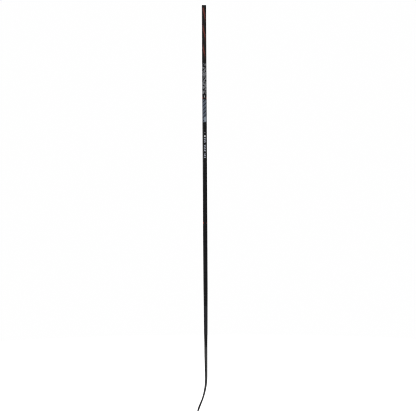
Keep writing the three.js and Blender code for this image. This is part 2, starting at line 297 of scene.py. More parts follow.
def side_points(low, high, half, corner, seam, side):
    """One side of a rounded rectangle, from the middle of its low end to that of its high end."""
    radius = max(min(corner, half - seam - SLIVER, (high - low) / 2 - SLIVER), SLIVER)
    arc = [math.pi / 2 * i / CORNER_STEPS for i in range(CORNER_STEPS + 1)]
    points = [(low, side * seam)]
    for angle in arc:
        across = half - radius * (1 - math.sin(angle))
        points.append((low + radius * (1 - math.cos(angle)), side * across))
    for i in range(1, SIDE_STEPS):
        points.append((lerp(low + radius, high - radius, i / SIDE_STEPS), side * half))
    for angle in reversed(arc):
        across = half - radius * (1 - math.sin(angle))
        points.append((high - radius * (1 - math.cos(angle)), side * across))
    points.append((high, side * seam))
    return points


def full_outline(section, inset):
    """A whole rounded rectangle, starting and ending at the middle of the back or the sole."""
    half = section.thickness / 2 - inset
    corner = max(section.corner - inset, LEAST_CORNER)
    low, high = inset, section.height - inset
    forehand = side_points(low, high, half, corner, 0.0, -1)
    backhand = side_points(low, high, half, corner, 0.0, 1)
    return forehand + backhand[-2:0:-1]


def skin_outlines(section, side, inset, wall, edge):
    """The outer and the inner line of one skin's shallow C section."""
    outer_half = section.thickness / 2 - inset
    corner = section.corner - inset
    outer = side_points(inset, section.height - inset, outer_half, corner, SKIN_SEAM, side)
    lip = min(inset + edge, LIP_MOST * section.height)
    least = SKIN_SEAM + SKIN_LEAST
    inner_half = lerp(max(outer_half - wall, least), least, section.solid)
    inner = side_points(lip, section.height - lip, inner_half, SKIN_INNER_CORNER, SKIN_SEAM, side)
    return outer, inner


class Builder:
    """Collects vertices and faces with two UV maps: the unrolled surface in metres, and the bake's."""

    def __init__(self):
        self.points = []
        self.faces = []
        self.unrolled = []
        self.baked = []

    def add_ring(self, section, outline):
        first = len(self.points)
        self.points += [section.place(*spot) for spot in outline]
        return list(range(first, len(self.points)))

    def add_face(self, corners, unrolled, baked):
        self.faces.append(corners)
        self.unrolled.append(unrolled)
        self.baked.append(baked)

    def mesh(self, name):
        data = bpy.data.meshes.new(name)
        data.from_pydata(self.points, [], self.faces)
        for title, values in (("Unrolled", self.unrolled), ("OFBake", self.baked)):
            layer = data.uv_layers.new(name=title)
            flat = [number for face in values for spot in face for number in spot]
            layer.data.foreach_set("uv", flat)
        data.uv_layers.active = data.uv_layers["Unrolled"]
        data.uv_layers["Unrolled"].active_render = True
        return data


def girth(outline):
    """Running length along an outline, counted from its middle."""
    total = [0.0]
    for a, b in zip(outline, outline[1:]):
        total.append(total[-1] + math.dist(a, b))
    return [length - total[-1] / 2 for length in total]


class Strip:
    """A stretch of the bake map that a long surface is folded into, row above row."""

    def __init__(self, low, high, folds, width):
        self.low, self.high, self.width = low, high, width
        self.folds = folds  # path lengths at which the rows start, and where the last one ends

    def spot(self, path, around, middle):
        """Map place of a point, on the row that the middle of its face is on."""
        rows = len(self.folds) - 1
        row = min(sum(middle >= fold for fold in self.folds[1:]), rows - 1)
        start, end = self.folds[row], self.folds[row + 1]
        across = clamp((path - start) / (end - start))
        up = (row + lerp(ROW_MARGIN, 1 - ROW_MARGIN, clamp(around / self.width + 0.5))) / rows
        return lerp(BAKE_MARGIN, 1 - BAKE_MARGIN, across), lerp(self.low, self.high, up)


def skirt(builder, sections, outlines, strip, closed=False):
    """A grid of faces over a row of outlines. A closed outline joins its last point to its first."""
    rings = [builder.add_ring(section, line) for section, line in zip(sections, outlines)]
    lines = [list(line) + [line[0]] if closed else line for line in outlines]
    if closed:
        rings = [ring + [ring[0]] for ring in rings]
    measures = [girth(line) for line in lines]
    for r in range(len(rings) - 1):
        here, there = sections[r].path, sections[r + 1].path
        middle = (here + there) / 2
        for i in range(len(rings[r]) - 1):
            corners = [rings[r][i], rings[r][i + 1], rings[r + 1][i + 1], rings[r + 1][i]]
            spots = [(measures[r][i], here), (measures[r][i + 1], here)]
            spots += [(measures[r + 1][i + 1], there), (measures[r + 1][i], there)]
            unrolled = [(around * MM, path * MM) for around, path in spots]
            baked = [strip.spot(path, around, middle) for around, path in spots]
            builder.add_face(corners, unrolled, baked)
    return rings


def bridge(builder, outer, inner, path):
    """Closes one end of a wall, between its outer and its inner ring."""
    for i in range(len(outer) - 1):
        corners = [outer[i], outer[i + 1], inner[i + 1], inner[i]]
        builder.add_face(corners, [(0.0, path * MM)] * 4, [HIDDEN_SPOT] * 4)


def close_up(data):
    """Joins doubled points and turns every face outwards."""
    bm = bmesh.new()
    bm.from_mesh(data)
    bmesh.ops.remove_doubles(bm, verts=bm.verts, dist=MERGE_DISTANCE)
    bmesh.ops.recalc_face_normals(bm, faces=bm.faces)
    bm.to_mesh(data)
    bm.free()


def finish_piece(name, builder, material, replaced, sharp=32):
    """Makes the object, smooth but for edges sharper than the angle, in place of its CAD node."""
    data = builder.mesh(name)
    piece = bpy.data.objects.new(name, data)
    bpy.context.collection.objects.link(piece)
    close_up(data)
    data.shade_smooth()
    data.set_sharp_from_angle(angle=math.radians(sharp))
    data.materials.append(material)
    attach(piece, "root")
    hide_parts(*replaced)
    return piece


def steps(start, end, size):
    """Even places from start to end, about one size apart."""
    count = max(int(round((end - start) / size)), 1)
    return [lerp(start, end, i / count) for i in range(count + 1)]


def merged(places):
    """Places in order, with near repeats left out."""
    kept = []
    for place in sorted(places):
        if kept and place - kept[-1] < SAME_PLACE:
            continue
        kept.append(place)
    return kept


# ---------------------------------------------------------------- material graph


class Term:
    """A value in a material, so that a pattern can be written as arithmetic."""

    def __init__(self, graph, socket):
        self.graph = graph
        self.socket = socket

    def __add__(self, other):
        return self.graph.math("ADD", self, other)

    def __sub__(self, other):
        return self.graph.math("SUBTRACT", self, other)

    def __rsub__(self, other):
        return self.graph.math("SUBTRACT", other, self)

    def __mul__(self, other):
        return self.graph.math("MULTIPLY", self, other)

    def __truediv__(self, other):
        return self.graph.math("DIVIDE", self, other)

    __radd__ = __add__
    __rmul__ = __mul__

    def call(self, operation, *others):
        return self.graph.math(operation, self, *others)

    def abs(self):
        return self.call("ABSOLUTE")

    def floor(self):
        return self.call("FLOOR")

    def fract(self):
        return self.call("FRACT")

    def rise(self, low, high):
        """0 below low, 1 above high and smooth between."""
        ramp = self.graph.node("ShaderNodeMapRange", interpolation_type="SMOOTHSTEP")
        self.graph.feed(ramp.inputs[0], self)
        ramp.inputs[1].default_value = low
        ramp.inputs[2].default_value = high
        return Term(self.graph, ramp.outputs[0])

    def within(self, low, high, soft=0.15):
        """1 between two values, with soft edges."""
        return self.rise(low - soft, low + soft) * (1 - self.rise(high - soft, high + soft))

    def near(self, centre, reach, soft=0.15):
        return 1 - (self - centre).abs().rise(reach - soft, reach + soft)


class Graph:
    """One material's node tree."""

    def __init__(self, name):
        self.material = bpy.data.materials.new(name)
        self.material.use_nodes = True
        self.tree = self.material.node_tree
        self.shader = self.tree.nodes["Principled BSDF"]

    def node(self, kind, **settings):
        made = self.tree.nodes.new(kind)
        for key, value in settings.items():
            setattr(made, key, value)
        return made

    def feed(self, socket, value):
        if isinstance(value, Term):
            self.tree.links.new(value.socket, socket)
        else:
            socket.default_value = value

    def math(self, operation, *values):
        made = self.node("ShaderNodeMath", operation=operation)
        for socket, value in zip(made.inputs, values):
            self.feed(socket, value)
        return Term(self, made.outputs[0])

    def mix(self, share, a, b):
        made = self.node("ShaderNodeMix", data_type="RGBA")
        self.feed(made.inputs[0], share)
        self.feed(made.inputs[6], a)
        self.feed(made.inputs[7], b)
        return Term(self, made.outputs[2])

    def unrolled(self):
        """(around, down) on the unrolled surface, in millimetres."""
        uv = self.node("ShaderNodeUVMap", uv_map="Unrolled")
        parts = self.node("ShaderNodeSeparateXYZ")
        self.tree.links.new(uv.outputs[0], parts.inputs[0])
        return tuple(Term(self, parts.outputs[i]) / MM for i in (0, 1))

    def place(self):
        """(x, y, z) in the frame, in millimetres."""
        coords = self.node("ShaderNodeTexCoord")
        parts = self.node("ShaderNodeSeparateXYZ")
        self.tree.links.new(coords.outputs["Object"], parts.inputs[0])
        return tuple(Term(self, parts.outputs[i]) / MM for i in range(3))

    def vector(self, x, y, z=0.0):
        made = self.node("ShaderNodeCombineXYZ")
        for socket, value in zip(made.inputs, (x, y, z)):
            self.feed(socket, value)
        return Term(self, made.outputs[0])

    def noise(self, vector, scale, detail=3.0, rough=0.5):
        made = self.node("ShaderNodeTexNoise")
        self.feed(made.inputs["Vector"], vector)
        made.inputs["Scale"].default_value = scale
        made.inputs["Detail"].default_value = detail
        made.inputs["Roughness"].default_value = rough
        return Term(self, made.outputs["Fac"])

    def cell_value(self, row, column):
        """A random number for each cell of a lattice."""
        made = self.node("ShaderNodeTexWhiteNoise", noise_dimensions="2D")
        self.feed(made.inputs["Vector"], self.vector(row + 0.5, column + 0.5))
        return Term(self, made.outputs["Value"])

    def twill(self, across, along, tow):
        """A two-by-two twill of flat tows: which set is on top, and the crown of each tow."""
        p, q = across / tow, along / tow
        step = (p.floor() + q.floor()) / 4
        over = step.fract().rise(0.49, 0.51)
        crown_p = (p.fract() * math.pi).call("SINE")
        crown_q = (q.fract() * math.pi).call("SINE")
        return over, crown_p * over + crown_q * (1 - over)

    def bump(self, height, distance, strength=1.0):
        made = self.node("ShaderNodeBump")
        made.inputs["Strength"].default_value = strength
        made.inputs["Distance"].default_value = distance
        self.feed(made.inputs["Height"], height)
        self.tree.links.new(made.outputs[0], self.shader.inputs["Normal"])

    def set(self, **values):
        """Feeds the shader's own sockets, with underscores for spaces."""
        for key, value in values.items():
            self.feed(self.shader.inputs[key.replace("_", " ")], value)


BLACK = (0.0036, 0.0037, 0.0042, 1)
# The next colour is a painted highlight: the lit tows of the black carbon weave.
CARBON_TOW_HIGHLIGHT = (0.0170, 0.0174, 0.0195, 1)
WARM_BLACK = (0.0180, 0.0125, 0.0118, 1)
RED = (0.330, 0.052, 0.030, 1)
SLASH_RED = (0.235, 0.046, 0.032, 1)
SLASH_DEEP = (0.120, 0.024, 0.018, 1)
GREY = (0.118, 0.121, 0.130, 1)
GREY_LIGHT = (0.240, 0.245, 0.262, 1)
GREY_DARK = (0.030, 0.030, 0.032, 1)
HATCH_GREY = (0.014, 0.014, 0.016, 1)
BLUE_GREY = (0.135, 0.160, 0.205, 1)
BLUE_GREY_LIGHT = (0.325, 0.380, 0.440, 1)
BLUE_BLACK = (0.030, 0.036, 0.050, 1)
WHITE = (0.86, 0.87, 0.88, 1)
BLUE_WHITE = (0.66, 0.71, 0.82, 1)
WORN = (0.090, 0.088, 0.085, 1)
CAP_BLACK = (0.008, 0.008, 0.0085, 1)
# The lighter colour of each weave below (wrap, blade, inner) is a painted highlight of the lit tows,
# and also the tone of random cloudy patches.
WRAP_LOW = (0.013, 0.0135, 0.016, 1)
WRAP_HIGHLIGHT_AND_CLOUD = (0.026, 0.027, 0.031, 1)
BLADE_HIGHLIGHT_AND_CLOUD = (0.012, 0.012, 0.0135, 1)
INNER_LOW = (0.02, 0.02, 0.022, 1)
INNER_HIGHLIGHT_AND_CLOUD = (0.05, 0.05, 0.055, 1)
# The next colour is the painted shade in the foam's pores, darker than the foam itself.
FOAM_PORE_SHADE = (0.62, 0.56, 0.42, 1)
FOAM_PALE = (0.78, 0.73, 0.60, 1)
FOAM_STAIN = (0.55, 0.47, 0.33, 1)
RESIN_DEEP = (0.30, 0.20, 0.07, 1)
RESIN_PALE = (0.50, 0.38, 0.18, 1)

# Depth of the surface relief, in metres.
PAINT_RELIEF = 0.00006
WEAVE_RELIEF = 0.00008
GRAIN_RELIEF = 0.00015
PORE_RELIEF = 0.0003

# Zones of the paint, in millimetres down the shaft.
GRIP_START = 10
GRIP_END = 236
GREY_ZONE = (253, 383)
BAND_MIDDLE = 395
UPPER_SQUARES = 401
BLUE_ZONE = (408, 506)
PALE_ZONE = (483, 503)
HATCH_ZONE = (507, 548)
DASH_DOWN = 549.5
DOT_DOWN = 566
MARK_ZONE = (573, 661)
MARK_BLANKS = (599, 638)
MARK_SHIFT = 0.6  # the dot and the ladder sit this far off the middle
RULE_ZONE = (520, 1240)
LOWER_SQUARES = 940
FIRST_SLASH = 32
SLASH_PITCH = 87
SLASH_TURNS = 5  # slashes met on one turn round the shaft
SLASH_SHARE = 0.15  # half a slash, as a share of the pitch
THIN_SHARE = 0.045
SLASH_REACH = 5.4  # on the front, each side of the middle
LARGE_CELL = (23.0, 17.0)
MEDIUM_CELL = (16.0, 7.0)
SMALL_CELL = (6.4, 4.6)
TONE_STEPS = (0.29, 0.57)  # below the first a shard is black, above the second pale grey

# Sizes of the marks, in millimetres. The halves are across and down.
LANE_PITCH = 16.5
LANE_LEAN = 0.9
PALE_ACROSS = (3.0, 4.8)  # the pale block's middle and half width
SHEEN_LENGTH = 96
RUNG_PITCH = 10.8
LADDER_PITCH = 7.4
LADDER_HALF = 3.1
BAR_HALF = (1.5, 4.2)
UPPER_SQUARE_HALF = (2.0, 3.6)
LOWER_SQUARE_HALF = (2.0, 4.0)
DASH_HALF = (2.6, 1.2)
DOT_RADIUS = 3.45
BLANK_HALF = 3.5
RULE_ASIDE = 7.4  # each side of the middle of a wide face
TICK_PITCH = 60
FRONT_END = 9.6  # the front's own pattern ends here, on the rounded corners

# The shaft's perimeter, in millimetres from the middle of the front face.
FRONT_REACH = SHAFT_WIDTH / 2 - SHAFT_CORNER
CORNER_ARC = SHAFT_CORNER * math.pi / 2
WIDE_HALF = SHAFT_DEPTH / 2 - SHAFT_CORNER
FRONT_CORNER = FRONT_REACH + CORNER_ARC / 2
BACK_CORNER = FRONT_REACH + CORNER_ARC * 1.5 + WIDE_HALF * 2
WIDE_MIDDLE = FRONT_REACH + CORNER_ARC + WIDE_HALF
PERIMETER = (FRONT_REACH + CORNER_ARC + WIDE_HALF) * 4

# With this lean the slashes meet themselves at the middle of the back.
SLASH_LEAN = SLASH_PITCH * SLASH_TURNS / PERIMETER


def paint_slashes(graph, colour, around, down, on_wide):
    """The grip's warm black ground, with worn red slashes that lean down to the right."""
    colour = graph.mix(down.within(GRIP_START, GRIP_END, 20), colour, WARM_BLACK)
    turn = (down - around * SLASH_LEAN - FIRST_SLASH) / SLASH_PITCH
    broad = ((turn + 0.5).fract() - 0.5).near(0, SLASH_SHARE, 0.018)
    thin = (turn.fract() - 0.5).near(0, THIN_SHARE, 0.010) * on_wide
    in_reach = around.near(0, SLASH_REACH, 0.8) + on_wide
    ragged = graph.noise(graph.vector(around * 1.4, down * 0.2), 0.5, 4.0, 0.7)
    fade = (1 - down.rise(GRIP_END - 40, GRIP_END)) * down.rise(GRIP_START, GRIP_START + 2)
    red = (broad + thin * 0.6) * in_reach * ragged.rise(0.30, 0.46) * fade
    tint = graph.mix(ragged.rise(0.42, 0.66), SLASH_RED, SLASH_DEEP)
    return graph.mix(red, colour, tint), red


def lattice(graph, p, q, cell):
    """A random number for each cell of a slanted lattice."""
    return graph.cell_value((p / cell[0]).floor(), (q / cell[1]).floor())


def paint_shards(graph, colour, around, down, on_front):
    """Slanted blocks in two greys on black: fine ones on the front, large ones on the wide faces."""
    large = lattice(graph, down + around * 0.8, around - down * 0.9, LARGE_CELL)
    medium = lattice(graph, down - around * 1.6, around + down * 0.35, MEDIUM_CELL)
    small = lattice(graph, down - around * 0.35, around + down * 0.15, SMALL_CELL)
    zone = down.within(*GREY_ZONE, 0.3)
    tone = (large * 0.5 + medium * 0.5) * (1 - on_front) + small * on_front
    colour = graph.mix(zone, colour, BLACK)
    grey, pale = [tone.rise(step, step + 0.01) for step in TONE_STEPS]
    colour = graph.mix(zone * grey, colour, GREY)
    return graph.mix(zone * pale, colour, GREY_LIGHT)


def paint_blue(graph, colour, around, down, on_front):
    """Blue-grey zone with leaning bars, and one pale block on the front."""
    zone = down.within(*BLUE_ZONE, 0.3)
    lanes = ((down + around * LANE_LEAN - 3) / LANE_PITCH).fract()
    bars = lanes.rise(0.68, 0.70)
    hair = lanes.within(0.30, 0.36, 0.01) * (1 - on_front)
    sheen = (down / SHEEN_LENGTH).fract()
    colour = graph.mix(zone, colour, graph.mix(sheen, BLUE_GREY, BLUE_BLACK))
    colour = graph.mix(zone * on_front, colour, BLUE_GREY)
    colour = graph.mix(zone * (bars + hair), colour, BLUE_BLACK)
    pale = down.within(*PALE_ZONE, 0.3) * around.near(*PALE_ACROSS)
    return graph.mix(pale, colour, BLUE_GREY_LIGHT)


def paint_marks(graph, colour, around, down, on_front):
    """Plain marks on the front: a bar, corner squares, a hatch, a dash, a dot and a ladder."""
    bar = around.near(0, BAR_HALF[0]) * down.near(BAND_MIDDLE, BAR_HALF[1])
    colour = graph.mix(bar * 0.6, colour, WHITE)
    from_corner = around.abs() - FRONT_CORNER
    for middle, half in ((UPPER_SQUARES, UPPER_SQUARE_HALF), (LOWER_SQUARES, LOWER_SQUARE_HALF)):
        colour = graph.mix(from_corner.near(0, half[0]) * down.near(middle, half[1]), colour, RED)
    rungs = ((down - HATCH_ZONE[0]) / RUNG_PITCH).fract().within(0.74, 0.96, 0.02)
    hatch = down.within(*HATCH_ZONE, 0.3) * on_front
    colour = graph.mix(hatch, colour, graph.mix(rungs, BLACK, HATCH_GREY))
    dash = around.near(0, DASH_HALF[0]) * down.near(DASH_DOWN, DASH_HALF[1])
    colour = graph.mix(dash, colour, GREY_LIGHT)
    fall = down - DOT_DOWN
    aside = around - MARK_SHIFT
    dot = (aside * aside + fall * fall).call("SQRT")
    colour = graph.mix(1 - dot.rise(DOT_RADIUS - 0.15, DOT_RADIUS + 0.15), colour, WHITE)
    ladder = ((down + around * 0.25 - MARK_ZONE[0]) / LADDER_PITCH).fract().within(0.18, 0.74, 0.02)
    blanks = down.near(MARK_BLANKS[0], BLANK_HALF) + down.near(MARK_BLANKS[1], BLANK_HALF)
    marks = ladder * around.near(MARK_SHIFT, LADDER_HALF)
    marks = marks * down.within(*MARK_ZONE, 0.3) * (1 - blanks)
    return graph.mix(marks * 0.75, colour, BLUE_WHITE)


def paint_rules(graph, colour, down, from_wide):
    """Fine lines that run on down the wide faces."""
    zone = down.within(*RULE_ZONE, 2)
    rules = (from_wide.abs() - RULE_ASIDE).near(0, 0.35, 0.1) * zone
    colour = graph.mix(rules * 0.7, colour, GREY)
    ticks = (down / TICK_PITCH).fract().within(0.0, 0.5, 0.01) * zone
    return graph.mix(from_wide.near(0, 0.6) * ticks, colour, GREY_DARK)


def scratches(graph, across, along, amount=0.72):
    """Hairlines that run along a piece."""
    lines = graph.noise(graph.vector(across * 2.4, along * 0.03), 1.0, 3.0, 0.6)
    patches = graph.noise(graph.vector(across * 0.05, along * 0.02), 1.0, 2.0)
    return lines.rise(amount, amount + 0.06) * patches.rise(0.45, 0.6)


def carbon_ground(graph, across, along, tow, low, high, weave=0.5):
    """Woven carbon under lacquer: base colour, crown height, and which way the top tow runs. The base
    colour is a painted highlight of the weave: the top tows and the crown of each tow are painted
    lighter.
    """
    over, crown = graph.twill(across, along, tow)
    # Painted highlight: the tow on top and the crown of each tow are painted lighter than the black
    # carbon.
    shade = (over * 0.65 + crown * 0.35) * weave
    return graph.mix(shade, low, high), crown, over


def shaft_paint():
    """Lacquered carbon with the shaft's painted zones, worn at its corners."""
    graph = Graph("shaft_paint")
    around, down = graph.unrolled()
    spot = graph.vector(*graph.place())
    from_wide = around.abs() - WIDE_MIDDLE
    on_front = 1 - around.abs().rise(FRONT_END, FRONT_END + 0.6)
    on_wide = 1 - from_wide.abs().rise(WIDE_HALF + 0.2, WIDE_HALF + 0.8)

    across, along = around + down, down - around
    # The carbon ground under the paint carries a painted highlight on its top tows and tow crowns.
    colour, crown, over = carbon_ground(graph, across, along, 3.2, BLACK, CARBON_TOW_HIGHLIGHT, 0.7)
    colour, red = paint_slashes(graph, colour, around, down, on_wide)
    colour = paint_shards(graph, colour, around, down, on_front)
    colour = paint_blue(graph, colour, around, down, on_front)
    colour = paint_marks(graph, colour, around, down, on_front)
    colour = paint_rules(graph, colour, down, from_wide)

    from_back = (around.abs() - BACK_CORNER).abs()
    from_corner = (around.abs() - FRONT_CORNER).abs().call("MINIMUM", from_back)
    chips = graph.noise(graph.vector(around * 0.6, down * 0.25), 1.0, 4.0, 0.7).rise(0.60, 0.66)
    worn = chips * (1 - from_corner.rise(0.3, 1.8))
    scratch = scratches(graph, around, down)
    colour = graph.mix(worn * 0.35 + scratch * 0.10, colour, WORN)

    cloudy = graph.noise(spot, 0.05, 3.0)
    fine = graph.noise(spot, 2.2, 2.0)
    rougher = cloudy * 0.12 + worn * 0.2 + scratch * 0.1 + over * 0.05
    graph.set(Base_Color=colour, Roughness=rougher + 0.33)
    graph.set(Specular_IOR_Level=0.30, Coat_Weight=0.12, Coat_Roughness=0.2)
    graph.bump(crown * 0.4 + fine * 0.4 + red * 0.6 - worn * 0.6, PAINT_RELIEF, 0.7)
    return graph.material


def weave_lacquer(name, low, high, tow, rough, weave, tilt, coat):
    """Bare woven carbon: tows at an angle to the piece, in satin or matt lacquer. Its base colour
    holds a painted highlight: the top tows and the crown of each tow are lighter, and random cloudy
    patches take the same lighter colour.
    """
    graph = Graph(name)
    x, y, z = graph.place()
    c, s = math.cos(tilt), math.sin(tilt)
    across = x * c + z * s
    along = z * c - x * s
    spot = graph.vector(x, y, z)
    # Painted highlight: the tows on top and the tow crowns are painted in the lighter colour.
    ground, crown, over = carbon_ground(graph, across, along, tow, low, high, weave)
    cloudy = graph.noise(spot, 0.06, 3.0)
    fine = graph.noise(spot, 3.0, 2.0)
    smudges = graph.noise(spot, 0.018, 4.0, 0.65).rise(0.5, 0.7)
    scratch = scratches(graph, along + across, along - across, 0.70)

    # Scuffs gather on the sole and fade out above it.
    rise = (x - HEEL.x) * SOLE_UP.x + (z - HEEL.y) * SOLE_UP.y
    place = (x - HEEL.x) * SOLE_ALONG.x + (z - HEEL.y) * SOLE_ALONG.y - ROCKER_MIDDLE
    above_sole = rise - place * place / (2 * ROCKER_RADIUS)
    grit = graph.noise(spot, 0.9, 4.0, 0.7).rise(0.52, 0.62)
    scuffed = (1 - above_sole.abs().rise(0.5, 5.0)) * grit

    colour = graph.mix(cloudy.rise(0.35, 0.7) * 0.3, ground, high)
    colour = graph.mix(scratch * 0.10 + scuffed * 0.4, colour, WORN)
    rougher = cloudy * 0.1 + smudges * 0.08 + scratch * 0.1 + scuffed * 0.2 + over * 0.12
    graph.set(Base_Color=colour, Roughness=rougher + rough)
    graph.set(Specular_IOR_Level=0.36, Coat_Weight=coat, Coat_Roughness=0.3)
    graph.bump(crown * 0.8 + fine * 0.4 - scuffed * 0.8, WEAVE_RELIEF, 0.8)
    return graph.material


def moulded_plastic(name, colour, rough):
    """Injection-moulded plastic with a fine spark-eroded grain."""
    graph = Graph(name)
    spot = graph.vector(*graph.place())
    grain = graph.noise(spot, 2.6, 4.0, 0.6)
    cloudy = graph.noise(spot, 0.12, 3.0)
    lighter = tuple(channel * 1.9 for channel in colour[:3]) + (1,)
    graph.set(Base_Color=graph.mix(cloudy.rise(0.3, 0.7) * 0.6, colour, lighter))
    graph.set(Roughness=grain * 0.15 + rough, Specular_IOR_Level=0.35)
    graph.bump(grain, GRAIN_RELIEF, 0.5)
    return graph.material


def foam(name):
    """Closed-cell foam: pale, with small open pores that are painted darker, a painted shade in their
    hollows.
    """
    graph = Graph(name)
    spot = graph.vector(*graph.place())
    pores = graph.node("ShaderNodeTexVoronoi", feature="DISTANCE_TO_EDGE")
    graph.feed(pores.inputs["Vector"], spot)
    pores.inputs["Scale"].default_value = 1.4
    wall = Term(graph, pores.outputs["Distance"]).rise(0.0, 0.35)
    cloudy = graph.noise(spot, 0.1, 3.0)
    # Painted shade: the pores, which the bump sets lower, are painted darker than the cell walls.
    colour = graph.mix(wall, FOAM_PORE_SHADE, FOAM_PALE)
    colour = graph.mix(cloudy * 0.3, colour, FOAM_STAIN)
    graph.set(Base_Color=colour, Roughness=cloudy * 0.15 + 0.8)
    graph.bump(wall, PORE_RELIEF, 0.6)
    return graph.material


def resin(name):
    """Cured adhesive: amber, with streaks from spreading."""
    graph = Graph(name)
    x, y, z = graph.place()
    streaks = graph.noise(graph.vector(x, y, z * 0.3), 0.5, 4.0)
    colour = graph.mix(streaks, RESIN_DEEP, RESIN_PALE)
    graph.set(Base_Color=colour, Roughness=streaks * 0.3 + 0.25)
    graph.bump(streaks, PORE_RELIEF, 0.5)
    return graph.material


# ---------------------------------------------------------------- pieces


def make_cap(material):
    """A flange with a rounded top edge, over a hollow plug."""
    bore = PLUG_INSET + PLUG_WALL
    places = []
    for i in range(CAP_EDGE_STEPS + 1):
        angle = math.pi / 2 * (1 - i / CAP_EDGE_STEPS)
        places.append((CAP_EDGE * (1 - math.sin(angle)), CAP_EDGE * (1 - math.cos(angle))))
    places += [
        (CAP_HEIGHT - CAP_LOWER_EDGE, 0),
        (CAP_HEIGHT, CAP_LOWER_EDGE),
        (CAP_HEIGHT + EDGE_STEP, PLUG_INSET),
        (PLUG_BOTTOM - PLUG_LEAD, PLUG_INSET),
        (PLUG_BOTTOM, PLUG_INSET + PLUG_CHAMFER),
        (PLUG_BOTTOM, bore - PLUG_LIP),
        (PLUG_FLOOR, bore),
    ]
    sections = [shaft_section(down) for down, _ in places]
    outlines = [full_outline(section, inset) for section, (_, inset) in zip(sections, places)]
    builder = Builder()
    strip = Strip(0.0, 0.9, [0, PLUG_BOTTOM], CAP_GIRTH)
    rings = skirt(builder, sections, outlines, strip, closed=True)
    for ring in (rings[0], rings[-1]):
        corners = ring[:-1]
        where = [builder.points[i] for i in corners]
        flat = [(spot.y, 0.0) for spot in where]
        patch = [(0.5 + spot.x * 8, 0.95 + spot.y * 3) for spot in where]
        builder.add_face(corners, flat, patch)
    return finish_piece("end_cap", builder, material, ["butt_end_cap"])


def make_tube(name, places, inset, wall, rows, material, replaced):
    """A closed tube along the shaft, whose inset changes with the distance down."""
    builder = Builder()
    folds = [lerp(min(places), max(places), i / rows) for i in range(rows + 1)]
    strip = Strip(0.0, 0.95, folds, SHAFT_GIRTH)
    inside = Strip(0.95, 1.0, [folds[0], folds[-1]], SHAFT_GIRTH)
    places = merged(places + folds)
    sections = [shaft_section(down) for down in places]
    outer = skirt(builder, sections, [full_outline(s, inset(s.path)) for s in sections], strip, True)
    bends = [down for down, _ in WIDTHS if places[0] < down < places[-1]]
    bore = [shaft_section(down) for down in [places[0], *bends, places[-1]]]
    inner = skirt(builder, bore, [full_outline(s, wall) for s in bore], inside, True)
    for end in (0, -1):
        bridge(builder, outer[end], inner[end], places[end])
    return finish_piece(name, builder, material, replaced)


def make_shaft(material):
    """The painted tube, with a shallow recess at its lower end for the band."""

    def inset(down):
        if down > recess_top:
            return WRAP_RECESS
        edge = min(down - SHAFT_TOP, recess_top - down)
        return max(0.0, SHAFT_EASE - edge)

    recess_top = WRAP_TOP - GAP
    places = steps(SHAFT_TOP, recess_top - SHAFT_EASE, SHAFT_STEP)
    places += [SHAFT_TOP + SHAFT_EASE / 2, SHAFT_TOP + SHAFT_EASE]
    places += [recess_top - SHAFT_EASE / 2, recess_top, recess_top + RECESS_STEP]
    places += steps(WRAP_TOP + 1, JOINT_DOWN, SHAFT_STEP)
    places += [down for down, _ in WIDTHS if SHAFT_TOP < down < JOINT_DOWN]
    node, slot = ["shaft_tube"], "shaft_carbon"
    return make_tube("shaft", places, inset, SHAFT_WALL, 4, material, node)


def make_wrap(material):
    """The band over the joint, flush with the shaft and eased at both ends."""

    def inset(down):
        edge = min(down - WRAP_TOP, WRAP_BOTTOM - down)
        return max(0.0, WRAP_EASE * (1 - edge / WRAP_EASE_LENGTH))

    places = steps(WRAP_TOP, WRAP_BOTTOM, WRAP_STEP)
    places += [WRAP_TOP + WRAP_EASE_LENGTH, WRAP_BOTTOM - WRAP_EASE_LENGTH, HOSEL_TOP]
    node, slot = ["joint_wrap"], "wrap_carbon"
    return make_tube("joint_band", places, inset, WRAP_THICKNESS, 1, material, node)


def skin_stations():
    """(section, inset, wall, edge) down the hosel, round the heel and along the blade."""
    stations = []
    step_down = WRAP_BOTTOM + GAP
    for down in steps(JOINT_DOWN + GAP, step_down, 12):
        stations.append((shaft_section(down), WRAP_RECESS, HOSEL_WALL, HOSEL_WALL))
    for down in merged(steps(step_down + RECESS_END, -FILLET_Z, 5) + [HOSEL_TOP, HOSEL_MIDDLE]):
        if step_down < down <= -FILLET_Z:
            stations.append((shaft_section(down), 0.0, HOSEL_WALL, HOSEL_WALL))
    for share in steps(1 / HEEL_STEPS, 1, 1 / HEEL_STEPS):
        wall = lerp(HOSEL_WALL, SKIN, share)
        stations.append((heel_section(share), 0.0, wall, lerp(HOSEL_WALL, SKIN_EDGE, share)))
    straight = steps(HEEL_END, BLADE_LENGTH - TOE_ROUNDING, 4)[1:]
    turns = [math.pi / 2 * i / TOE_STEPS for i in range(1, TOE_LAST_STEP + 1)]
    toe = [BLADE_LENGTH - TOE_ROUNDING * (1 - math.sin(turn)) for turn in turns]
    tip = [BLADE_LENGTH - TOE_TIP * (1 - share) for share in TIP_SHARES]
    for along in merged(straight + toe + tip):
        stations.append((blade_section(along), 0.0, SKIN, SKIN_EDGE))
    return stations


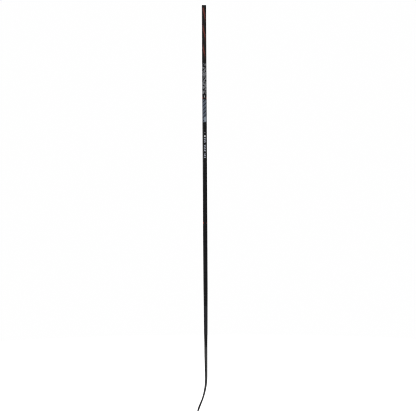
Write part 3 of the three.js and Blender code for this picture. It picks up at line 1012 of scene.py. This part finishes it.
def make_skin(name, node, side, material):
    """One half of the hosel and the blade: a shallow shell with a solid toe."""
    stations = skin_stations()
    sections = [station[0] for station in stations]
    paths = [section.path for section in sections]
    middle = (paths[0] + paths[-1]) / 2
    fold = min(paths, key=lambda path: abs(path - middle))
    folds = [paths[0], fold, paths[-1]]
    outlines = [skin_outlines(station[0], side, *station[1:]) for station in stations]
    builder = Builder()
    outside = Strip(0.0, 0.84, folds, SKIN_GIRTH)
    inside = Strip(0.84, 1.0, folds, SKIN_GIRTH)
    outer = skirt(builder, sections, [pair[0] for pair in outlines], outside)
    inner = skirt(builder, sections, [pair[1] for pair in outlines], inside)
    for edge in (0, -1):
        for r in range(len(outer) - 1):
            corners = [outer[r][edge], outer[r + 1][edge], inner[r + 1][edge], inner[r][edge]]
            builder.add_face(corners, [(0.0, paths[r] * MM)] * 4, [HIDDEN_SPOT] * 4)
    for end in (0, -1):
        bridge(builder, outer[end], inner[end], paths[end])
    return finish_piece(name, builder, material, [node], sharp=50)


def dress_inner_nodes(foam_look, resin_look, carbon_look):
    """Gives each CAD node that is kept its material."""
    looks = {
        "adhesive_dam": foam_look,
        "tenon_core": foam_look,
        "hosel_core": foam_look,
        "lower_foam_core": foam_look,
        "upper_foam_core": foam_look,
        "tenon_adhesive": resin_look,
        "tenon": carbon_look,
        "blade_rib": carbon_look,
    }
    for node, look in looks.items():
        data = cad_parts[node].data
        data.materials.clear()
        data.materials.append(look)


paint = shaft_paint()
satin = moulded_plastic("cap_black", CAP_BLACK, rough=0.42)
slanted = math.pi / 4
wrap_look = weave_lacquer(
    "wrap_weave", WRAP_LOW, WRAP_HIGHLIGHT_AND_CLOUD, tow=2.4, rough=0.5, weave=0.7, tilt=slanted, coat=0.0
)
blade_look = weave_lacquer(
    "blade_weave", BLACK, BLADE_HIGHLIGHT_AND_CLOUD, tow=2.6, rough=0.36, weave=0.8, tilt=0.0, coat=0.15
)
hidden_weave = weave_lacquer(
    "inner_weave", INNER_LOW, INNER_HIGHLIGHT_AND_CLOUD, tow=2.0, rough=0.45, weave=0.8, tilt=slanted, coat=0.0
)
make_cap(satin)
make_shaft(paint)
make_wrap(wrap_look)
make_skin("blade_forehand", "forehand_skin", -1, blade_look)
make_skin("blade_backhand", "backhand_skin", 1, blade_look)
dress_inner_nodes(foam("core_foam"), resin("cured_adhesive"), hidden_weave)

# ---------------------------------------------------------------- stage, light and camera

FLOOR_DROP = 0.12  # the stick hangs this far above the floor
FLOOR_RADIUS = 3.6
FLOOR_SIDES = 96
FLOOR_TONE = (0.45, 0.45, 0.45, 1)
FLOOR_GLOW = 0.85  # seen by the camera only, so that the floor is pale and lights nothing
WORLD_SEEN = 0.995
WORLD_LIT = 0.07


def seen_or_lit(tree, seen, lit):
    """A number that is one value for the camera and another for what lights and mirrors in things."""
    path = tree.nodes.new("ShaderNodeLightPath")
    mix = tree.nodes.new("ShaderNodeMix")
    mix.inputs[2].default_value = lit
    mix.inputs[3].default_value = seen
    tree.links.new(path.outputs["Is Camera Ray"], mix.inputs[0])
    return mix.outputs[0]


def make_floor():
    """A wide pale disc under the stick."""
    low = cad_low[2] - FLOOR_DROP
    turns = [math.tau * i / FLOOR_SIDES for i in range(FLOOR_SIDES)]
    rim = [(math.cos(turn) * FLOOR_RADIUS, math.sin(turn) * FLOOR_RADIUS, low) for turn in turns]
    data = bpy.data.meshes.new("floor")
    data.from_pydata(rim, [], [list(range(FLOOR_SIDES))])
    floor = bpy.data.objects.new("floor", data)
    bpy.context.collection.objects.link(floor)
    graph = Graph("floor_white")
    graph.set(Base_Color=FLOOR_TONE, Roughness=0.9, Specular_IOR_Level=0.1)
    graph.set(Emission_Color=(1, 1, 1, 1))
    glow = seen_or_lit(graph.tree, FLOOR_GLOW, 0.0)
    graph.tree.links.new(glow, graph.shader.inputs["Emission Strength"])
    data.materials.append(graph.material)


def make_light(name, place, target, size, power):
    """A rectangular area light that faces its target."""
    data = bpy.data.lights.new(name, "AREA")
    data.shape = "RECTANGLE"
    data.size, data.size_y = size
    data.energy = power
    light = bpy.data.objects.new(name, data)
    light.location = place
    aim = Vector(target) - Vector(place)
    light.rotation_euler = aim.to_track_quat("-Z", "Y").to_euler()
    bpy.context.collection.objects.link(light)


def make_overhead():
    """A broad soft light from straight above."""
    data = bpy.data.lights.new("overhead", "SUN")
    data.energy = 1.5
    data.angle = math.radians(60)
    light = bpy.data.objects.new("overhead", data)
    bpy.context.collection.objects.link(light)


def make_world():
    """White behind the object, and a dim studio for what lights and mirrors in it."""
    world = bpy.data.worlds.new("studio")
    bpy.context.scene.world = world
    world.use_nodes = True
    tree = world.node_tree
    back = tree.nodes["Background"]
    back.inputs["Color"].default_value = (1, 1, 1, 1)
    tree.links.new(seen_or_lit(tree, WORLD_SEEN, WORLD_LIT), back.inputs["Strength"])


CAMERA_DISTANCE = 4.8
CAMERA_LEVEL = -0.8763
CAMERA_YAW = math.radians(0.705)
CAMERA_ROLL = math.radians(-0.331)
CAMERA_SIDE = 0.0126
PIXELS_PER_METRE = 231.0  # at the shaft, in a picture 416 pixels wide
PICTURE = 416


def make_camera():
    """Level with the stick's middle, facing the narrow face on the toe side."""
    data = bpy.data.cameras.new("camera")
    data.lens = data.sensor_width * PIXELS_PER_METRE * CAMERA_DISTANCE / PICTURE
    camera = bpy.data.objects.new("camera", data)
    toward = Vector((-math.cos(CAMERA_YAW), math.sin(CAMERA_YAW), 0))
    right = toward.cross(Vector((0, 0, 1)))
    middle = Vector((0, 0, CAMERA_LEVEL))
    camera.location = middle - toward * CAMERA_DISTANCE + right * CAMERA_SIDE
    facing = toward.to_track_quat("-Z", "Y").to_matrix().to_4x4()
    turned = facing @ Matrix.Rotation(CAMERA_ROLL, 4, "Z")
    camera.rotation_euler = turned.to_euler()
    bpy.context.collection.objects.link(camera)
    bpy.context.scene.camera = camera


make_floor()
make_light("tall_left", place=(1.9, -2.6, 0.0), target=(0, 0, -0.6), size=(0.8, 2.0), power=60)
make_light("tall_right", place=(-0.6, 3.0, -0.5), target=(0, 0, -0.8), size=(0.9, 2.4), power=34)
make_light("front_fill", place=(3.6, 1.2, 0.6), target=(0, 0, -0.7), size=(1.6, 1.6), power=12)
make_overhead()
make_world()
make_camera()
bpy.context.scene.view_settings.view_transform = "Standard"
bpy.context.scene.cycles.filter_width = 1.0
